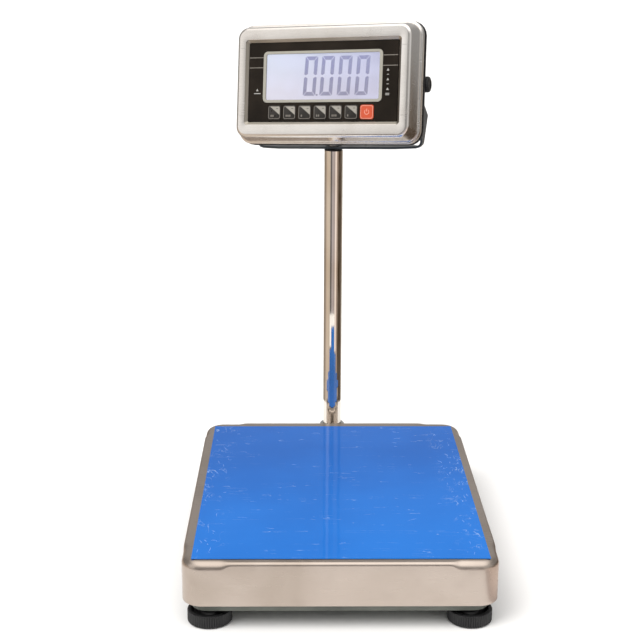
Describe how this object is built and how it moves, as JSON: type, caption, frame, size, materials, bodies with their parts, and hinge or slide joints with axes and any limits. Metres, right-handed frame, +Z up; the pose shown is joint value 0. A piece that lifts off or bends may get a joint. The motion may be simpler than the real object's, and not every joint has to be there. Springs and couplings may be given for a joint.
{
  "type": "platform shipping scale",
  "caption": "Platform scale with a lift-off stainless weighing pan, levelling feet, a rear column and a tilting, swivelling digital indicator.",
  "frame": {"origin": "centre of the object's footprint box on the floor plane that the four feet stand on", "axes": "+Z up, -Y towards the operator (the pan's front edge), +X to the operator's right"},
  "size_m": [0.35, 0.557, 0.6332],
  "materials": {
    "pan_stainless": "satin",
    "blue_film": "gloss",
    "frame_paint": "satin",
    "aluminium": "satin",
    "zinc_steel": "satin",
    "level_acrylic": "gloss",
    "bracket_steel": "satin",
    "polished_stainless": "polished",
    "case_stainless": "satin",
    "black_plastic": "matte",
    "rubber": "matte",
    "panel_black": "satin",
    "display_glass": "gloss",
    "lcd_backlight": "matte",
    "circuit_board": "satin",
    "battery_case": "matte",
    "key_black": "satin",
    "key_orange": "satin"
  },
  "bodies": {
    "base": {"base_frame": "frame_paint", "upper_frame": "frame_paint", "load_cell": "aluminium", "load_cell_top_block": "zinc_steel", "load_cell_upper_bolt_1": "zinc_steel", "load_cell_upper_bolt_2": "zinc_steel", "load_cell_lower_bolt_1": "zinc_steel", "load_cell_lower_bolt_2": "zinc_steel", "bubble_level": "level_acrylic", "column_socket": "bracket_steel", "column_bolt_left": "zinc_steel", "column_bolt_right": "zinc_steel", "column_clamp_screw": "zinc_steel", "column": "polished_stainless", "column_plug": "black_plastic", "swivel_bolt": "zinc_steel", "foot_nut_fl": "zinc_steel", "foot_nut_fr": "zinc_steel", "foot_nut_rl": "zinc_steel", "foot_nut_rr": "zinc_steel", "pan_pad_fl": "rubber", "pan_pad_fr": "rubber", "pan_pad_rl": "rubber", "pan_pad_rr": "rubber"},
    "pan": {"weighing_pan": "pan_stainless", "protective_film": "blue_film"},
    "bracket": {"indicator_bracket": "bracket_steel"},
    "indicator": {"front_shell": "case_stainless", "case_gasket": "rubber", "rear_shell": "black_plastic", "front_panel": "panel_black", "display_glass": "display_glass", "lcd_module": "lcd_backlight", "main_board": "circuit_board", "battery": "battery_case", "load_cell_gland": "black_plastic", "supply_gland": "black_plastic", "case_screw_lower_left": "zinc_steel", "case_screw_lower_right": "zinc_steel", "case_screw_upper_left": "zinc_steel", "case_screw_upper_right": "zinc_steel"},
    "foot_fl_sole": {"foot_sole_fl": "rubber"},
    "foot_fl_wheel": {"foot_wheel_fl": "black_plastic"},
    "foot_fr_sole": {"foot_sole_fr": "rubber"},
    "foot_fr_wheel": {"foot_wheel_fr": "black_plastic"},
    "foot_rl_sole": {"foot_sole_rl": "rubber"},
    "foot_rl_wheel": {"foot_wheel_rl": "black_plastic"},
    "foot_rr_sole": {"foot_sole_rr": "rubber"},
    "foot_rr_wheel": {"foot_wheel_rr": "black_plastic"},
    "knob_left": {"knob_left": "black_plastic"},
    "knob_right": {"knob_right": "black_plastic"},
    "key_1": {"key_1": "key_black"},
    "key_2": {"key_2": "key_black"},
    "key_3": {"key_3": "key_black"},
    "key_4": {"key_4": "key_black"},
    "key_5": {"key_5": "key_black"},
    "key_6": {"key_6": "key_black"},
    "key_7": {"key_7": "key_orange"}
  },
  "joints": [
    {"name": "pan_lift", "type": "slide", "parent": "base", "child": "pan", "axis": [0, 0, 1], "range_m": [0, 0.06]},
    {"name": "head_swivel", "type": "hinge", "parent": "base", "child": "bracket", "pos_m": [0, 0.2065, 0.461], "axis": [-0.0498, 0.0211, 0.9985], "range_deg": [-147, 193]},
    {"name": "head_tilt", "type": "hinge", "parent": "bracket", "child": "indicator", "pos_m": [0.0018, 0.20574, 0.54503], "axis": [0.9192, -0.3902, 0.0541], "range_deg": [-35, 11.5]},
    {"name": "foot_fl_lower", "type": "slide", "parent": "base", "child": "foot_fl_sole", "axis": [0, 0, -1], "range_m": [0, 0.01]},
    {"name": "foot_fl_turn", "type": "hinge", "parent": "foot_fl_sole", "child": "foot_fl_wheel", "pos_m": [-0.145, -0.2535, 0.02], "axis": [0, 0, -1], "range_deg": [0, 2390]},
    {"name": "foot_fr_lower", "type": "slide", "parent": "base", "child": "foot_fr_sole", "axis": [0, 0, -1], "range_m": [0, 0.01]},
    {"name": "foot_fr_turn", "type": "hinge", "parent": "foot_fr_sole", "child": "foot_fr_wheel", "pos_m": [0.145, -0.2535, 0.02], "axis": [0, 0, -1], "range_deg": [0, 2390]},
    {"name": "foot_rl_lower", "type": "slide", "parent": "base", "child": "foot_rl_sole", "axis": [0, 0, -1], "range_m": [0, 0.01]},
    {"name": "foot_rl_turn", "type": "hinge", "parent": "foot_rl_sole", "child": "foot_rl_wheel", "pos_m": [-0.145, 0.1465, 0.02], "axis": [0, 0, -1], "range_deg": [0, 2390]},
    {"name": "foot_rr_lower", "type": "slide", "parent": "base", "child": "foot_rr_sole", "axis": [0, 0, -1], "range_m": [0, 0.01]},
    {"name": "foot_rr_turn", "type": "hinge", "parent": "foot_rr_sole", "child": "foot_rr_wheel", "pos_m": [0.145, 0.1465, 0.02], "axis": [0, 0, -1], "range_deg": [0, 2390]},
    {"name": "knob_left_turn", "type": "hinge", "parent": "indicator", "child": "knob_left", "pos_m": [0.0018, 0.20574, 0.54503], "axis": [-0.9192, 0.3902, -0.0541], "range_deg": [0, 360]},
    {"name": "knob_right_turn", "type": "hinge", "parent": "indicator", "child": "knob_right", "pos_m": [0.0018, 0.20574, 0.54503], "axis": [0.9192, -0.3902, 0.0541], "range_deg": [0, 360]},
    {"name": "key_1_press", "type": "slide", "parent": "indicator", "child": "key_1", "axis": [0.3928, 0.8978, -0.1991], "range_m": [0, 0.0006], "stiffness_N_per_m": 600},
    {"name": "key_2_press", "type": "slide", "parent": "indicator", "child": "key_2", "axis": [0.3928, 0.8978, -0.1991], "range_m": [0, 0.0006], "stiffness_N_per_m": 600},
    {"name": "key_3_press", "type": "slide", "parent": "indicator", "child": "key_3", "axis": [0.3928, 0.8978, -0.1991], "range_m": [0, 0.0006], "stiffness_N_per_m": 600},
    {"name": "key_4_press", "type": "slide", "parent": "indicator", "child": "key_4", "axis": [0.3928, 0.8978, -0.1991], "range_m": [0, 0.0006], "stiffness_N_per_m": 600},
    {"name": "key_5_press", "type": "slide", "parent": "indicator", "child": "key_5", "axis": [0.3928, 0.8978, -0.1991], "range_m": [0, 0.0006], "stiffness_N_per_m": 600},
    {"name": "key_6_press", "type": "slide", "parent": "indicator", "child": "key_6", "axis": [0.3928, 0.8978, -0.1991], "range_m": [0, 0.0006], "stiffness_N_per_m": 600},
    {"name": "key_7_press", "type": "slide", "parent": "indicator", "child": "key_7", "axis": [0.3928, 0.8978, -0.1991], "range_m": [0, 0.0006], "stiffness_N_per_m": 600}
  ],
  "couplings": [
    {"joint": "foot_fl_lower", "follows": "foot_fl_turn", "m_per_rad": 0.00023873},
    {"joint": "foot_fr_lower", "follows": "foot_fr_turn", "m_per_rad": 0.00023873},
    {"joint": "foot_rl_lower", "follows": "foot_rl_turn", "m_per_rad": 0.00023873},
    {"joint": "foot_rr_lower", "follows": "foot_rr_turn", "m_per_rad": 0.00023873}
  ]
}
